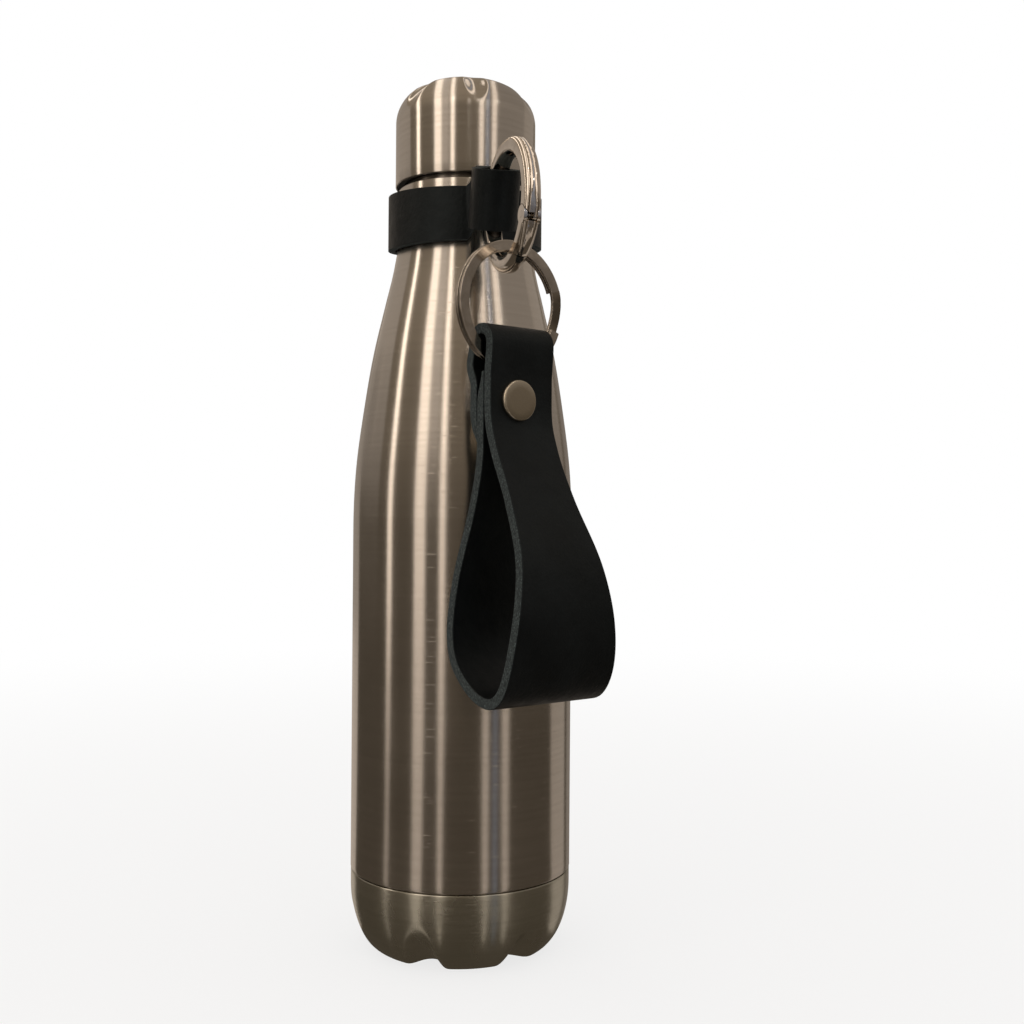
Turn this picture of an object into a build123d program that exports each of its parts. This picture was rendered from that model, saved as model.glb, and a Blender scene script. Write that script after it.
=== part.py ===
from build123d import *

import os
from math import atan2, cos, degrees, hypot, radians, sin, sqrt

# A slim vacuum bottle in brushed steel, with a fluted screw cap, a petal base and a
# leather collar that carries a spring-gate ring, a split key ring and a loop handle.
# The origin is the centre of the foot on the ground, Z is the bottle's axis and the
# collar's tab points along -Y. Lengths are in millimetres, angles in degrees.

os.makedirs("parts", exist_ok=True)

# Steel bottle
body_radius = 34.0
steel_wall = 0.7
seam_height = 24.3
seam_gap = 0.35
neck_radius = 20.8
shoulder_height = 128.0
shoulder_length = 90.0
neck_length = 15.3
lip_radius = 18.6
neck_round = 0.35
lip_length = 7.7
skirt_gap = 0.05
skirt_height = 4.1
skirt_bend = 2.0
shoulder_rise_shares = (0.21, 0.41, 0.62, 0.775, 0.91)
shoulder_radius_shares = (0.945, 0.775, 0.535, 0.290, 0.080)
neck_foot_height = shoulder_height + shoulder_length
neck_top_height = neck_foot_height + neck_length
mouth_height = neck_top_height + lip_length

# Inner flask and the vacuum between the walls
vacuum_gap = 3.0
flask_wall = 0.6
mouth_radius = 15.4
throat_drop = 2.0
flask_floor_gap = 4.2
flask_floor_rise = 3.0
flask_bottom_height = 9.5
bottom_weld_drop = 1.9
bottom_dish_height = 1.6
getter_radius = 4.5
getter_thickness = 2.2
getter_offset = 18.0
bead_radius = 3.0
bead_thickness = 1.2
throat_height = neck_foot_height - throat_drop
flask_floor_height = seam_height + flask_floor_gap
flask_weld_height = flask_floor_height + flask_bottom_height
bottom_weld_height = seam_height - bottom_weld_drop

# Petal base
cup_wall = 0.8
cup_step_width = 0.1
foot_radius = 24.0
cup_side_height = 4.3
foot_inner_radius = 19.0
recess_height = 3.2
recess_radius = 14.0
petal_count = 6
petal_groove_radius = 4.6
petal_groove_top = 12.5
petal_groove_slope = 41.0
petal_turn = -2.5
cup_radius = body_radius - cup_step_width
cup_round_height = seam_height - cup_side_height

# Screw cap
cap_radius = 21.75
cap_edge_gap = 1.2
cap_wall = 0.8
cap_side_height = 19.8
dome_round_width = 13.8
dome_round_height = 12.1
flute_count = 6
flute_radius = 3.9
flute_depth = 1.2
flute_slope = 43.0
flute_turn = -2.0
core_edge_recess = 0.6
core_gap = 0.05
plug_radius = 14.2
plug_depth = 22.0
plug_wall = 1.6
plug_end_bevel = 1.5
plug_lid_thickness = 2.0
lip_room = 0.6
seal_thickness = 1.6
seal_overhang = 0.3
foam_gap = 0.05
cap_edge = neck_top_height + cap_edge_gap
dome_spring_height = cap_edge + cap_side_height
dome_top_height = dome_spring_height + dome_round_height

# Leather collar and its tab
collar_leather = 2.2
collar_fit = 0.9
collar_width = 15.6
collar_drop = 9.5
collar_slope = 4.9
collar_roll = 1.2
tab_width = 16.3
tab_drop = 2.6
tab_tilt = 18.0
tab_eye_radius = 4.4
tab_eye_shift = 2.2
tab_pinch_back = 8.5
tab_slit = 0.4
rivet_band_gap = 1.1
rivet_pinch_gap = 1.3
collar_rivet_radius = 3.9
collar_rivet_crown = 1.2
collar_rivet_foot = 0.5
collar_height = neck_top_height - collar_drop
tab_height = collar_height - tab_drop

# Spring-gate ring
ring_radius = 15.5
ring_depth = 5.0
ring_breadth = 4.6
ring_edge_round = 1.5
ring_yaw = 6.5
ring_hang_angle = 20.0
gate_pin_angle = -22.0
gate_tip_angle = -62.0
gate_clearance = 0.2
gate_tip_gap = 0.3
tip_block_reach = 12.0
gate_pin_radius = 0.8
gate_pin_play = 0.05
gate_slot = 2.9
gate_tongue = 0.95
gate_tongue_offset = -0.925
gate_tongue_radius = 2.1
spring_wire = 0.3
spring_turns = 2
spring_pitch = 0.72

# Split key ring
key_ring_radius = 17.5
key_ring_width = 3.0
key_wire = 1.0
key_coil_gap = 0.4
key_wire_round = 0.25
key_cross_angle = 40.0
cross_ease_share = 0.34
link_gap = 0.5

# Leather loop handle
handle_yaw = 26.0
strap_leather = 2.9
strap_end_width = 21.3
strap_grip_width = 35.6
strap_shift = 0.7
strap_layer_gap = 0.1
strap_ring_gap = 0.2
fold_room = 2.2
fold_neck = 2.0
tail_drop = 32.55
return_end_gap = 0.6
stack_length = 27.05
loop_drop = 99.6
loop_front = 22.2
loop_back = 5.2
loop_back_share = 0.417
loop_front_share = 0.29
loop_flare_share = 0.907
loop_flare_out_share = 0.25
loop_bulge_share = 0.463
loop_bulge_out_share = 0.93
loop_shoulder_share = 0.728
loop_shoulder_out_share = 0.54
loop_heel_share = 0.713
loop_heel_out_share = 0.44
loop_low_share = 0.338
loop_corner_share = 0.111
loop_corner_out_share = 0.832
strap_steps = 12
grip_start_share = 0.175
grip_full_share = 0.934
handle_rivet_drop = 20.3
handle_rivet_shift = -0.9
handle_rivet_radius = 5.55
handle_rivet_crown = 1.5
handle_rivet_foot_radius = 4.6
handle_rivet_foot = 0.9
rivet_post_radius = 1.6
rivet_post_gap = 0.05

overrun = 1.0


def side_plane(x, y, yaw):
    """Upright plane through (x, y); its X runs out along the yaw, its Y is up."""
    out = Vector(sin(radians(yaw)), -cos(radians(yaw)), 0)
    return Plane(origin=(x, y, 0), x_dir=out, z_dir=out.cross(Vector(0, 0, 1)))


def front_plane(x, y, yaw):
    """Upright plane through (x, y) that faces along the yaw; its Y is up."""
    out = Vector(sin(radians(yaw)), -cos(radians(yaw)), 0)
    return Plane(origin=(x, y, 0), x_dir=Vector(0, 0, 1).cross(out), z_dir=out)


def shoulder_points(inset):
    """Points of the bottle's shoulder, drawn in by an inset from the outer skin."""
    rise = neck_foot_height - shoulder_height
    spread = body_radius - neck_radius
    shares = zip(shoulder_rise_shares, shoulder_radius_shares)
    inner = [(neck_radius + spread * out - inset, shoulder_height + rise * up) for up, out in shares]
    start = (body_radius - inset, shoulder_height)
    end = (neck_radius - inset, neck_foot_height)
    return [start] + inner + [end]


# Outer shell with its stepped skirt, shoulder, neck and lip
shell_edge = seam_height + seam_gap / 2
skirt_radius = cup_radius - cup_wall - skirt_gap
skirt_foot = seam_height - skirt_height
lip_shelf = neck_top_height - steel_wall
lip_top = mouth_height - steel_wall

with BuildPart() as outer_shell:
    with BuildSketch(Plane.XZ):
        with BuildLine():
            Polyline(
                (skirt_radius - steel_wall, skirt_foot),
                (skirt_radius, skirt_foot),
                (skirt_radius, shell_edge),
                (body_radius, shell_edge),
                (body_radius, shoulder_height),
            )
            Spline(shoulder_points(0), tangents=[(0, 1), (0, 1)])
            Polyline(
                (neck_radius, neck_foot_height),
                (neck_radius, neck_top_height),
                (lip_radius, neck_top_height),
                (lip_radius, lip_top),
                (lip_radius - steel_wall, lip_top),
                (lip_radius - steel_wall, lip_shelf),
                (neck_radius - steel_wall, lip_shelf),
                (neck_radius - steel_wall, neck_foot_height),
            )
            Spline(shoulder_points(steel_wall), tangents=[(0, 1), (0, 1)])
            Polyline(
                (body_radius - steel_wall, shoulder_height),
                (body_radius - steel_wall, shell_edge + skirt_bend),
                (skirt_radius - steel_wall, shell_edge + skirt_bend),
                (skirt_radius - steel_wall, skirt_foot),
            )
        make_face()
    revolve(axis=Axis.Z)
    neck_edge = min(
        outer_shell.edges().filter_by(GeomType.CIRCLE),
        key=lambda edge: hypot(edge.radius - neck_radius, edge.arc_center.Z - neck_top_height),
    )
    fillet(neck_edge, neck_round)
outer_shell.part.label = "outer_shell"

# Dished outer bottom, welded inside the skirt, with a dimple for the sealing bead
bottom_radius = skirt_radius - steel_wall
dimple_height = bottom_weld_height + bottom_dish_height

with BuildPart() as outer_bottom:
    with BuildSketch(Plane.XZ):
        with BuildLine():
            Polyline(
                (bottom_radius, skirt_foot),
                (bottom_radius, bottom_weld_height),
                (bead_radius, dimple_height),
                (0, dimple_height),
                (0, dimple_height - steel_wall),
                (bead_radius, dimple_height - steel_wall),
                (bottom_radius - steel_wall, bottom_weld_height - steel_wall),
                (bottom_radius - steel_wall, skirt_foot),
                (bottom_radius, skirt_foot),
            )
        make_face()
    revolve(axis=Axis.Z)
outer_bottom.part.label = "outer_bottom"

with BuildPart() as seal_bead:
    with BuildSketch(Plane.XY.offset(dimple_height - steel_wall - bead_thickness)):
        Circle(bead_radius)
    extrude(amount=bead_thickness)
seal_bead.part.label = "seal_bead"

# Getter pellet on the sloping bottom, inside the vacuum
getter_seat = bottom_weld_height + bottom_dish_height * (bottom_radius - getter_offset + getter_radius) / (
    bottom_radius - bead_radius
)
with BuildPart() as getter:
    with BuildSketch(Plane.XY.offset(getter_seat)):
        with Locations((getter_offset, 0)):
            Circle(getter_radius)
    extrude(amount=getter_thickness)
getter.part.label = "getter"

# Inner flask: rolled lip, threaded mouth, body; its bottom disc is welded in
flask_radius = body_radius - steel_wall - vacuum_gap
flask_inset = steel_wall + vacuum_gap
mouth_outer = mouth_radius + flask_wall


def flask_points(inset):
    """Shoulder of the inner flask, closing in on the mouth instead of the neck."""
    rise = throat_height - shoulder_height
    spread = body_radius - flask_inset - mouth_outer
    shares = zip(shoulder_rise_shares, shoulder_radius_shares)
    inner = [(mouth_outer + spread * out - inset, shoulder_height + rise * up) for up, out in shares]
    start = (flask_radius - inset, shoulder_height)
    return [start] + inner + [(mouth_outer - inset, throat_height)]


with BuildPart() as inner_flask:
    with BuildSketch(Plane.XZ):
        with BuildLine():
            Polyline(
                (flask_radius - flask_wall, flask_weld_height),
                (flask_radius, flask_weld_height),
                (flask_radius, shoulder_height),
            )
            Spline(flask_points(0), tangents=[(0, 1), (0, 1)])
            Polyline(
                (mouth_outer, throat_height),
                (mouth_outer, lip_top),
                (lip_radius, lip_top),
                (lip_radius, mouth_height),
                (mouth_radius, mouth_height),
                (mouth_radius, throat_height),
            )
            Spline(flask_points(flask_wall), tangents=[(0, 1), (0, 1)])
            Polyline(
                (flask_radius - flask_wall, shoulder_height),
                (flask_radius - flask_wall, flask_weld_height),
            )
        make_face()
    revolve(axis=Axis.Z)
inner_flask.part.label = "inner_flask"

with BuildPart() as inner_bottom:
    with BuildSketch(Plane.XZ):
        with BuildLine():
            Line((flask_radius, flask_weld_height), (flask_radius, flask_floor_height + flask_floor_rise))
            ThreePointArc(
                (flask_radius, flask_floor_height + flask_floor_rise),
                (flask_radius - flask_floor_rise * (1 - sqrt(1 / 2)), flask_floor_height
                 + flask_floor_rise * (1 - sqrt(1 / 2))),
                (flask_radius - flask_floor_rise, flask_floor_height),
            )
            Polyline(
                (flask_radius - flask_floor_rise, flask_floor_height),
                (0, flask_floor_height + flask_floor_rise),
                (0, flask_floor_height + flask_floor_rise + flask_wall),
                (flask_radius - flask_floor_rise, flask_floor_height + flask_wall),
            )
            ThreePointArc(
                (flask_radius - flask_floor_rise, flask_floor_height + flask_wall),
                (flask_radius - flask_wall - (flask_floor_rise - flask_wall) * (1 - sqrt(1 / 2)),
                 flask_floor_height + flask_wall + (flask_floor_rise - flask_wall) * (1 - sqrt(1 / 2))),
                (flask_radius - flask_wall, flask_floor_height + flask_floor_rise),
            )
            Polyline(
                (flask_radius - flask_wall, flask_floor_height + flask_floor_rise),
                (flask_radius - flask_wall, flask_weld_height),
                (flask_radius, flask_weld_height),
            )
        make_face()
    revolve(axis=Axis.Z)
inner_bottom.part.label = "inner_bottom"


# Petal base cup: a pressed bowl whose foot is parted into petals by six grooves
def cup_form(inset):
    """Solid bowl of the base, drawn in by an inset, before the grooves are pressed."""
    top = seam_height - seam_gap / 2
    with BuildPart(mode=Mode.PRIVATE) as form:
        with BuildSketch(Plane.XZ):
            with BuildLine():
                Polyline((0, recess_height + inset), (0, top), (cup_radius - inset, top),
                         (cup_radius - inset, cup_round_height))
                EllipticalCenterArc(
                    (foot_radius, cup_round_height),
                    cup_radius - inset - foot_radius,
                    cup_round_height - inset,
                    start_angle=270,
                    arc_size=90,
                )
                Polyline((foot_radius, inset), (foot_inner_radius + inset, inset),
                         (recess_radius + inset, recess_height + inset), (0, recess_height + inset))
            make_face()
        revolve(axis=Axis.Z)
    return form.part


def petal_groove(radius):
    """One slanting round groove of the base, centred on the X direction."""
    slope = radians(petal_groove_slope)
    drop = petal_groove_radius / cos(slope)
    along = Vector(cos(slope), 0, sin(slope))
    seat = Vector(cup_radius, 0, petal_groove_top - drop)
    plane = Plane(origin=seat - along * cup_radius, x_dir=(0, 1, 0), z_dir=along)
    with BuildPart(mode=Mode.PRIVATE) as groove:
        with BuildSketch(plane):
            Circle(radius)
        extrude(amount=cup_radius + petal_groove_top)
    return groove.part


petal_angles = [petal_turn + i * 360 / petal_count for i in range(petal_count)]
cup_outside = cup_form(0)
cup_inside = cup_form(cup_wall)
for angle in petal_angles:
    turn = Rotation(0, 0, angle)
    cup_outside = cup_outside - turn * petal_groove(petal_groove_radius)
    cup_inside = cup_inside - turn * petal_groove(petal_groove_radius + cup_wall)
lid_block = Pos(0, 0, cup_round_height) * Cylinder(
    cup_radius - cup_wall, cup_round_height, align=(Align.CENTER, Align.CENTER, Align.MIN)
)
base_cup = cup_outside - cup_inside - lid_block
base_cup.label = "base_cup"


# Screw cap: a drawn steel dome with flutes pressed into its round
def dome_form(inset):
    """Solid of the cap's steel shell, drawn in by an inset, before the flutes."""
    with BuildPart(mode=Mode.PRIVATE) as form:
        with BuildSketch(Plane.XZ):
            with BuildLine():
                Polyline((0, dome_top_height - inset), (0, cap_edge), (cap_radius - inset, cap_edge),
                         (cap_radius - inset, dome_spring_height))
                EllipticalCenterArc(
                    (cap_radius - dome_round_width, dome_spring_height),
                    dome_round_width - inset,
                    dome_round_height - inset,
                    start_angle=0,
                    arc_size=90,
                )
                Line((cap_radius - dome_round_width, dome_top_height - inset), (0, dome_top_height - inset))
            make_face()
        revolve(axis=Axis.Z)
    return form.part


def dome_flute(radius):
    """One flute cutter that leans inwards over the dome's round, centred on X."""
    slope = radians(flute_slope)
    half = sqrt(1 / 2)
    skin_height = dome_spring_height + dome_round_height * half
    skin = Vector(cap_radius - dome_round_width * (1 - half), 0, skin_height)
    lift = Vector(sin(slope), 0, cos(slope)) * (flute_radius - flute_depth)
    along = Vector(-cos(slope), 0, sin(slope))
    plane = Plane(origin=skin + lift - along * dome_round_width, x_dir=(0, 1, 0), z_dir=along)
    with BuildPart(mode=Mode.PRIVATE) as flute:
        with BuildSketch(plane):
            Circle(radius)
        extrude(amount=2 * dome_round_width)
    return flute.part


flute_angles = [flute_turn - 90 + i * 360 / flute_count for i in range(flute_count)]
dome_outside = dome_form(0)
dome_inside = dome_form(cap_wall)
for angle in flute_angles:
    turn = Rotation(0, 0, angle)
    dome_outside = dome_outside - turn * dome_flute(flute_radius)
    dome_inside = dome_inside - turn * dome_flute(flute_radius + cap_wall)
cap_shell = dome_outside - dome_inside
cap_shell.label = "cap_shell"

# Moulded stopper core that fills the cap's rim and plugs the mouth
core_radius = cap_radius - cap_wall - core_gap
core_edge = cap_edge + core_edge_recess
core_top = dome_spring_height
lip_roof = mouth_height + seal_thickness
plug_end = mouth_height - plug_depth

with BuildPart() as stopper_core:
    with BuildSketch(Plane.XZ):
        Polygon(
            (plug_radius - plug_wall, plug_end + plug_lid_thickness),
            (plug_radius - plug_wall, core_top),
            (core_radius, core_top),
            (core_radius, core_edge),
            (lip_radius + lip_room, core_edge),
            (lip_radius + lip_room, lip_roof),
            (plug_radius, lip_roof),
            (plug_radius, plug_end + plug_lid_thickness),
            align=None,
        )
    revolve(axis=Axis.Z)
stopper_core.part.label = "stopper_core"

with BuildPart() as stopper_lid:
    with BuildSketch(Plane.XY.offset(plug_end)):
        Circle(plug_radius)
    extrude(amount=plug_lid_thickness)
    chamfer(stopper_lid.edges().group_by(Axis.Z)[0], plug_end_bevel)
stopper_lid.part.label = "stopper_lid"

with BuildPart() as foam_plug:
    with BuildSketch(Plane.XY.offset(plug_end + plug_lid_thickness)):
        Circle(plug_radius - plug_wall - foam_gap)
    extrude(amount=core_top - plug_end - plug_lid_thickness)
foam_plug.part.label = "foam_plug"

# Silicone seal ring that sits on the rolled lip
with BuildPart() as seal_ring:
    with BuildSketch(Plane.XY.offset(mouth_height)):
        Circle(lip_radius + seal_overhang)
        Circle(mouth_radius - seal_overhang, mode=Mode.SUBTRACT)
    extrude(amount=seal_thickness)
seal_ring.part.label = "seal_ring"

# Leather collar: a band round the neck and a tab folded round the gate ring
collar_inner = neck_radius + collar_fit
collar_outer = collar_inner + collar_leather
collar_rivet_back = tab_pinch_back + rivet_pinch_gap + collar_rivet_radius
tab_reach = collar_outer + rivet_band_gap + collar_rivet_radius + collar_rivet_back
tab_plane = Plane(
    origin=(0, -tab_reach, tab_height),
    x_dir=(1, 0, 0),
    z_dir=(0, -sin(radians(tab_tilt)), cos(radians(tab_tilt))),
)
pinch_half = collar_leather + tab_slit / 2

with BuildPart() as collar_strap:
    with BuildSketch(Plane.XY.offset(collar_height)):
        Circle(collar_outer)
    extrude(amount=collar_width, both=True)
    slope = radians(collar_slope)
    roll = radians(collar_roll)
    for side in (1, -1):
        cut = Plane(
            origin=(0, 0, collar_height + side * collar_width / 2),
            z_dir=(-side * sin(roll), -side * sin(slope), side * cos(slope)),
        )
        split(bisect_by=cut, keep=Keep.BOTTOM)
    with BuildSketch(tab_plane):
        with Locations((0, -tab_eye_shift), (0, 0)):
            Circle(tab_eye_radius + collar_leather)
        with Locations((0, tab_pinch_back)):
            Circle(pinch_half)
        make_hull()
        with Locations((0, (tab_pinch_back + tab_reach - collar_inner) / 2)):
            Rectangle(2 * pinch_half, tab_reach - collar_inner - tab_pinch_back)
    extrude(amount=tab_width / 2, both=True)
    with BuildSketch(tab_plane):
        with Locations((0, -tab_eye_shift), (0, 0)):
            Circle(tab_eye_radius)
        with Locations((0, tab_pinch_back)):
            Circle(tab_slit / 2)
        make_hull()
        with Locations((0, (tab_pinch_back + tab_reach - collar_inner + overrun) / 2)):
            Rectangle(tab_slit, tab_reach - collar_inner + overrun - tab_pinch_back)
    extrude(amount=tab_width, both=True, mode=Mode.SUBTRACT)
    with BuildSketch(Plane.XY.offset(collar_height)):
        Circle(collar_inner)
    extrude(amount=2 * collar_width, both=True, mode=Mode.SUBTRACT)
    with BuildSketch(Plane.YZ):
        with Locations((collar_rivet_back - tab_reach, tab_height)):
            Circle(rivet_post_radius + rivet_post_gap)
    extrude(amount=collar_outer, both=True, mode=Mode.SUBTRACT)
collar_strap.part.label = "collar_strap"

rivet_spot = (collar_rivet_back - tab_reach, tab_height)
with BuildPart() as collar_rivet_cap:
    with BuildSketch(Plane.YZ.offset(pinch_half)):
        with Locations(rivet_spot):
            Circle(collar_rivet_radius)
    extrude(amount=collar_rivet_crown)
    fillet(collar_rivet_cap.edges().group_by(Axis.X)[-1], collar_rivet_crown / 2)
collar_rivet_cap.part.label = "collar_rivet_cap"

with BuildPart() as collar_rivet_post:
    with BuildSketch(Plane.YZ.offset(-pinch_half)):
        with Locations(rivet_spot):
            Circle(rivet_post_radius)
    extrude(amount=2 * pinch_half)
    with BuildSketch(Plane.YZ.offset(-pinch_half)):
        with Locations(rivet_spot):
            Circle(collar_rivet_radius)
    extrude(amount=-collar_rivet_foot)
collar_rivet_post.part.label = "collar_rivet_post"

# Spring-gate ring, hung from the tab's fold
hang = radians(ring_hang_angle)
ring_out = ring_radius * cos(hang)
ring_x = ring_out * sin(radians(ring_yaw))
ring_y = -tab_reach - ring_out * cos(radians(ring_yaw))
ring_height = tab_height - ring_radius * sin(hang)
ring_plane = side_plane(ring_x, ring_y, ring_yaw)
ring_plane.origin = Vector(ring_x, ring_y, ring_height)


def ring_point(angle):
    """Point of the ring's centre line in the ring's own plane."""
    return (ring_radius * cos(radians(angle)), ring_radius * sin(radians(angle)))


def ring_arc(start, sweep_angle):
    """Length of the ring's rounded bar from a start angle, anticlockwise."""
    section = Plane(
        origin=ring_plane.from_local_coords(ring_point(start)),
        x_dir=ring_plane.x_dir * cos(radians(start)) + ring_plane.y_dir * sin(radians(start)),
        z_dir=ring_plane.y_dir * cos(radians(start)) - ring_plane.x_dir * sin(radians(start)),
    )
    with BuildPart(mode=Mode.PRIVATE) as bar:
        with BuildSketch(section):
            RectangleRounded(ring_depth, ring_breadth, ring_edge_round)
        revolve(axis=Axis(ring_plane.origin, ring_plane.z_dir), revolution_arc=sweep_angle)
    return bar.part


def pin_disc(radius, low, high):
    """Disc round the gate's pin, between two depths across the ring."""
    with BuildPart(mode=Mode.PRIVATE) as disc:
        with BuildSketch(ring_plane.offset(low)):
            with Locations(ring_point(gate_pin_angle)):
                Circle(radius)
        extrude(amount=high - low)
    return disc.part


pin_spot = Vector(*ring_point(gate_pin_angle))
tip_spot = Vector(*ring_point(gate_tip_angle))
tip_line = (tip_spot - pin_spot).normalized()
tongue_low = gate_tongue_offset - gate_tongue / 2
tongue_high = gate_tongue_offset + gate_tongue / 2
half_breadth = ring_breadth / 2


def tip_block(low, high):
    """Block across the ring at the gate's tip, between two distances past the tip face."""
    middle = tip_spot + tip_line * (low + high) / 2
    angle = degrees(atan2(tip_line.Y, tip_line.X))
    with BuildPart(mode=Mode.PRIVATE) as block:
        with BuildSketch(ring_plane):
            with Locations(Location((middle.X, middle.Y), angle)):
                Rectangle(high - low, tip_block_reach)
        extrude(amount=ring_breadth, both=True)
    return block.part


tip_overlap = degrees(ring_depth / ring_radius)
body_sweep = 360 + gate_tip_angle - gate_pin_angle + tip_overlap
ring_bar = ring_arc(gate_pin_angle, body_sweep) - tip_block(-tip_block_reach, gate_tip_gap)
eye_room = pin_disc(ring_depth / 2 + gate_clearance, -ring_breadth, ring_breadth)
tongue = pin_disc(gate_tongue_radius, tongue_low, tongue_high)
with BuildPart(mode=Mode.PRIVATE) as tongue_slab:
    with BuildSketch(ring_plane.offset(tongue_low)):
        Circle(ring_radius + ring_depth)
    extrude(amount=gate_tongue)
tongue_root = ring_arc(gate_pin_angle, tip_overlap) & tongue_slab.part
pin_hole = pin_disc(gate_pin_radius, -ring_breadth, ring_breadth)
gate_hole = pin_disc(gate_pin_radius + gate_pin_play, -ring_breadth, ring_breadth)
gate_ring = (ring_bar - eye_room) + tongue_root + tongue - pin_hole
gate_ring.label = "gate_ring"

# Gate with its fork, which swings inwards on the pin
gate_bar = ring_arc(gate_tip_angle - tip_overlap, gate_pin_angle - gate_tip_angle + tip_overlap)
fork_disc = pin_disc(ring_depth / 2, -half_breadth, half_breadth)
fork_slot = pin_disc(ring_depth / 2 + gate_clearance, -gate_slot / 2, gate_slot / 2)
gate = gate_bar + fork_disc - tip_block(0, tip_block_reach) - fork_slot - gate_hole
gate.label = "gate"

gate_pin = pin_disc(gate_pin_radius, -half_breadth, half_breadth)
gate_pin.label = "gate_pin"

# Torsion coil that closes the gate, wound round the pin beside the tongue
coil_radius = gate_pin_radius + gate_clearance / 2 + spring_wire / 2
coil_start = tongue_high + gate_clearance / 2 + spring_wire / 2
pin_origin = ring_plane.from_local_coords(ring_point(gate_pin_angle))
coil_origin = pin_origin + ring_plane.z_dir * coil_start
with BuildPart() as gate_spring:
    with BuildLine() as coil_line:
        Helix(
            pitch=spring_pitch,
            height=spring_pitch * spring_turns,
            radius=coil_radius,
            center=coil_origin,
            direction=ring_plane.z_dir,
        )
    with BuildSketch(Plane(origin=coil_line.line @ 0, z_dir=coil_line.line % 0)):
        Circle(spring_wire / 2)
    sweep(path=coil_line.line, is_frenet=True)
gate_spring.part.label = "gate_spring"

# Split key ring: two flat coils and the place where the strip crosses over
key_bar = key_ring_radius - key_ring_width / 2
key_inner = key_ring_radius - key_ring_width
key_step = key_wire + key_coil_gap
key_height = ring_height - ring_radius + ring_depth / 2 + link_gap - key_inner
key_plane = front_plane(ring_x, ring_y, handle_yaw)
key_plane.origin = Vector(ring_x, ring_y, key_height)


def key_section(angle, depth):
    """Plane across the key ring's strip at an angle and a depth."""
    out = key_plane.x_dir * cos(radians(angle)) + key_plane.y_dir * sin(radians(angle))
    ahead = key_plane.y_dir * cos(radians(angle)) - key_plane.x_dir * sin(radians(angle))
    return Plane(origin=key_plane.origin + out * key_bar + key_plane.z_dir * depth, x_dir=out, z_dir=ahead)


with BuildPart() as key_ring:
    half_cross = key_cross_angle / 2
    for depth, start in ((-key_step / 2, half_cross), (key_step / 2, half_cross)):
        with BuildSketch(key_section(start, depth)):
            RectangleRounded(key_ring_width, key_wire, key_wire_round)
        revolve(axis=Axis(key_plane.origin, key_plane.z_dir), revolution_arc=360 - key_cross_angle)
    cross_start = key_section(-half_cross, -key_step / 2)
    cross_end = key_section(half_cross, key_step / 2)
    with BuildLine() as cross_line:
        Spline(
            cross_start.origin,
            key_section(-half_cross / 2, -key_step * cross_ease_share).origin,
            key_section(0, 0).origin,
            key_section(half_cross / 2, key_step * cross_ease_share).origin,
            cross_end.origin,
            tangents=[cross_start.z_dir, cross_end.z_dir],
        )
    with BuildSketch(cross_start):
        RectangleRounded(key_ring_width, key_wire, key_wire_round)
    sweep(path=cross_line.line)
key_ring.part.label = "key_ring"

# Leather loop handle: one strip, folded over the key ring and riveted in three layers.
# It hangs a little to the right of the ring's middle, as a worn strap does.
layer_pitch = strap_leather + strap_layer_gap
strap_half_end = strap_end_width / 2
key_half = key_wire + key_coil_gap / 2
ring_rise_at_edge = key_inner - sqrt(key_inner**2 - (strap_half_end + strap_shift) ** 2)
fold_rest = key_height - key_inner + ring_rise_at_edge + strap_ring_gap
fold_centre = fold_rest - sqrt(fold_room**2 - (key_half + strap_ring_gap) ** 2)
fold_radius = fold_room + strap_leather / 2
fold_top = fold_centre + fold_room + strap_leather
stack_top = key_height - key_ring_radius - return_end_gap
stack_foot = fold_top - stack_length
tail_end = fold_top - tail_drop
loop_floor = fold_top - loop_drop + strap_leather / 2
loop_rise = stack_foot - loop_floor
handle_side = side_plane(ring_x, ring_y, handle_yaw)
handle_front = front_plane(ring_x, ring_y, handle_yaw)
handle_side.origin += handle_front.x_dir * strap_shift
loop_depth = loop_front + loop_back

strap_centre = [
    Line((-layer_pitch, tail_end), (-layer_pitch, stack_top - fold_neck)),
    Spline((-layer_pitch, stack_top - fold_neck), (-fold_radius, fold_centre), tangents=[(0, 1), (0, 1)]),
    ThreePointArc((-fold_radius, fold_centre), (0, fold_centre + fold_radius), (fold_radius, fold_centre)),
    Spline((fold_radius, fold_centre), (layer_pitch, stack_top - fold_neck), tangents=[(0, -1), (0, -1)]),
    Line((layer_pitch, stack_top - fold_neck), (layer_pitch, stack_foot)),
    Spline(
        (layer_pitch, stack_foot),
        (loop_front * loop_flare_out_share, loop_floor + loop_rise * loop_flare_share),
        (loop_front * loop_shoulder_out_share, loop_floor + loop_rise * loop_shoulder_share),
        (loop_front * loop_bulge_out_share, loop_floor + loop_rise * loop_bulge_share),
        (loop_front, loop_floor + loop_rise * loop_front_share),
        tangents=[(0, -1), (0, -1)],
    ),
    Spline(
        (loop_front, loop_floor + loop_rise * loop_front_share),
        (loop_front - loop_depth * loop_low_share, loop_floor),
        tangents=[(0, -1), (-1, 0)],
    ),
    Spline(
        (loop_front - loop_depth * loop_low_share, loop_floor),
        (loop_front - loop_depth * loop_corner_out_share, loop_floor + loop_rise * loop_corner_share),
        (-loop_back, loop_floor + loop_rise * loop_back_share),
        tangents=[(-1, 0), (0, 1)],
    ),
    Spline(
        (-loop_back, loop_floor + loop_rise * loop_back_share),
        (-loop_back * loop_heel_out_share, loop_floor + loop_rise * loop_heel_share),
        (0, tail_end),
        tangents=[(0, 1), (0, 1)],
    ),
    Line((0, tail_end), (0, stack_top)),
]


def beside(edge, share, distance):
    """Point beside the strap's centre line, at a share of one of its edges."""
    along = edge % share
    return edge @ share + Vector(-along.Y, along.X) * distance


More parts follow.
